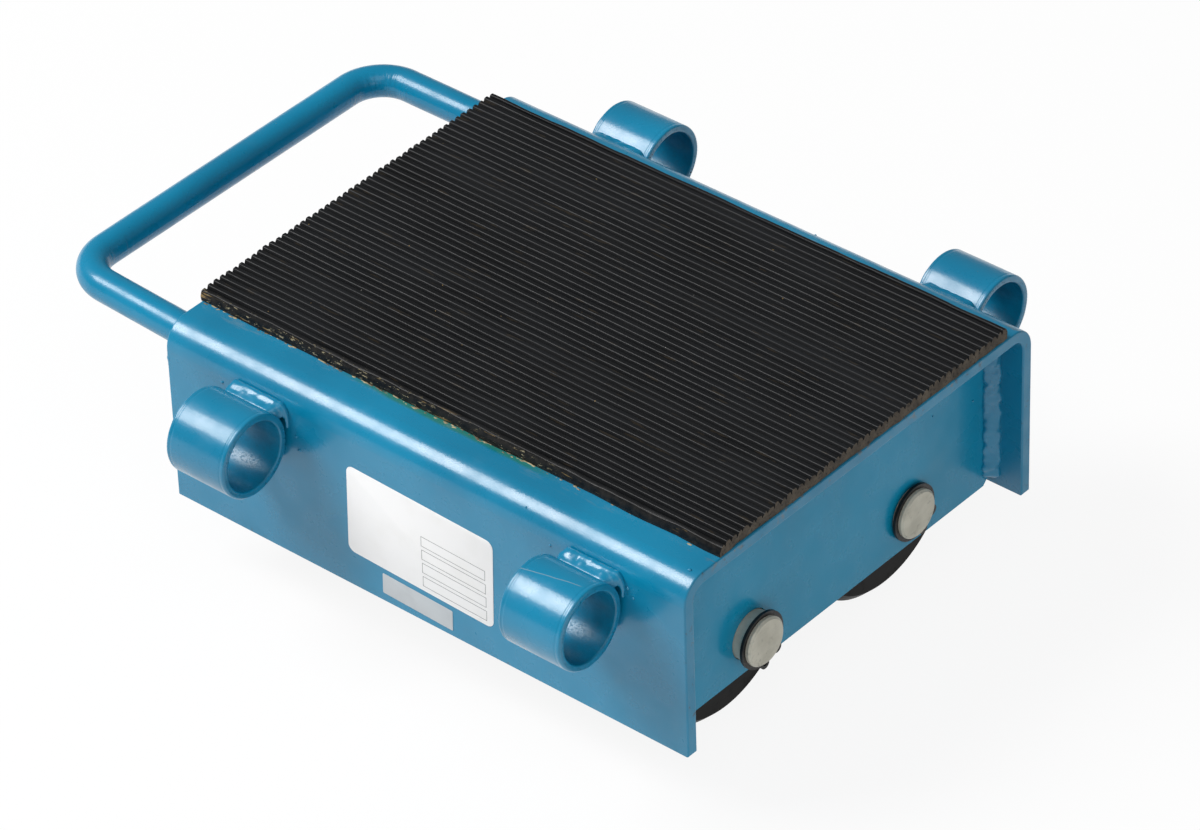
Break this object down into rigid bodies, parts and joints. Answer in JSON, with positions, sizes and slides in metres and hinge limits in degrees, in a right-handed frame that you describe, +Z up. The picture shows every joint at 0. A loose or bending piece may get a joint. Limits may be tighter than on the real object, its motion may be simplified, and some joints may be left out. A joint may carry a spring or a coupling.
{
  "type": "machine skate",
  "caption": "Low steel load skate: folded channel deck with a ribbed rubber mat, rollers on fixed axles, tube sockets for joining bars and a bent carrying handle.",
  "frame": {"origin": "on the floor, below the middle of the overall length and width", "axes": "+X along the channel towards the bare end, the handle is at -X; +Y is the rolling direction; +Z up"},
  "size_m": [0.3194, 0.2704, 0.11],
  "materials": {
    "blue_paint": "gloss enamel over welded steel",
    "black_rubber": "ribbed sheet, matt",
    "zinc_plate": "zinc plated",
    "spring_steel": "blackened",
    "black_nylon": "turned, satin",
    "bearing_steel": "ground",
    "seal_rubber": "moulded"
  },
  "bodies": {
    "frame": {"deck_channel": "blue_paint", "centre_plate": "blue_paint", "end_plate_front": "blue_paint", "end_plate_rear": "blue_paint", "carry_handle": "blue_paint", "rubber_mat": "black_rubber", "socket_front_right": "blue_paint", "socket_front_left": "blue_paint", "socket_rear_right": "blue_paint", "socket_rear_left": "blue_paint", "socket_welds_right": "blue_paint", "socket_welds_left": "blue_paint", "handle_welds": "blue_paint", "end_plate_welds": "blue_paint", "centre_plate_welds": "blue_paint", "bearing_inner_rings_front_right": "bearing_steel", "distance_tube_front_right": "zinc_plate", "side_washers_front_right": "zinc_plate", "bearing_inner_rings_front_left": "bearing_steel", "distance_tube_front_left": "zinc_plate", "side_washers_front_left": "zinc_plate", "bearing_inner_rings_rear_right": "bearing_steel", "distance_tube_rear_right": "zinc_plate", "side_washers_rear_right": "zinc_plate", "bearing_inner_rings_rear_left": "bearing_steel", "distance_tube_rear_left": "zinc_plate", "side_washers_rear_left": "zinc_plate"},
    "axle_right": {"axle_right": "zinc_plate", "circlip_front_right": "spring_steel", "circlip_rear_right": "spring_steel"},
    "roller_front_right": {"roller_front_right": "black_nylon", "bearing_outer_rings_front_right": "bearing_steel", "bearing_seals_front_right": "seal_rubber"},
    "roller_rear_right": {"roller_rear_right": "black_nylon", "bearing_outer_rings_rear_right": "bearing_steel", "bearing_seals_rear_right": "seal_rubber"},
    "axle_left": {"axle_left": "zinc_plate", "circlip_front_left": "spring_steel", "circlip_rear_left": "spring_steel"},
    "roller_front_left": {"roller_front_left": "black_nylon", "bearing_outer_rings_front_left": "bearing_steel", "bearing_seals_front_left": "seal_rubber"},
    "roller_rear_left": {"roller_rear_left": "black_nylon", "bearing_outer_rings_rear_left": "bearing_steel", "bearing_seals_rear_left": "seal_rubber"}
  },
  "joints": [
    {"name": "axle_right_float", "type": "slide", "parent": "frame", "child": "axle_right", "axis": [1, 0, 0], "range_m": [-0.0045, 0.0011]},
    {"name": "roller_front_right_spin", "type": "hinge", "parent": "frame", "child": "roller_front_right", "pos_m": [0.08775, -0.0465, 0.0425], "axis": [1, 0, 0], "continuous": true},
    {"name": "roller_rear_right_spin", "type": "hinge", "parent": "frame", "child": "roller_rear_right", "pos_m": [-0.01825, -0.0465, 0.0425], "axis": [1, 0, 0], "continuous": true},
    {"name": "axle_left_float", "type": "slide", "parent": "frame", "child": "axle_left", "axis": [1, 0, 0], "range_m": [-0.0011, 0.0045]},
    {"name": "roller_front_left_spin", "type": "hinge", "parent": "frame", "child": "roller_front_left", "pos_m": [0.08775, 0.0465, 0.0425], "axis": [1, 0, 0], "continuous": true},
    {"name": "roller_rear_left_spin", "type": "hinge", "parent": "frame", "child": "roller_rear_left", "pos_m": [-0.01825, 0.0465, 0.0425], "axis": [1, 0, 0], "continuous": true}
  ]
}
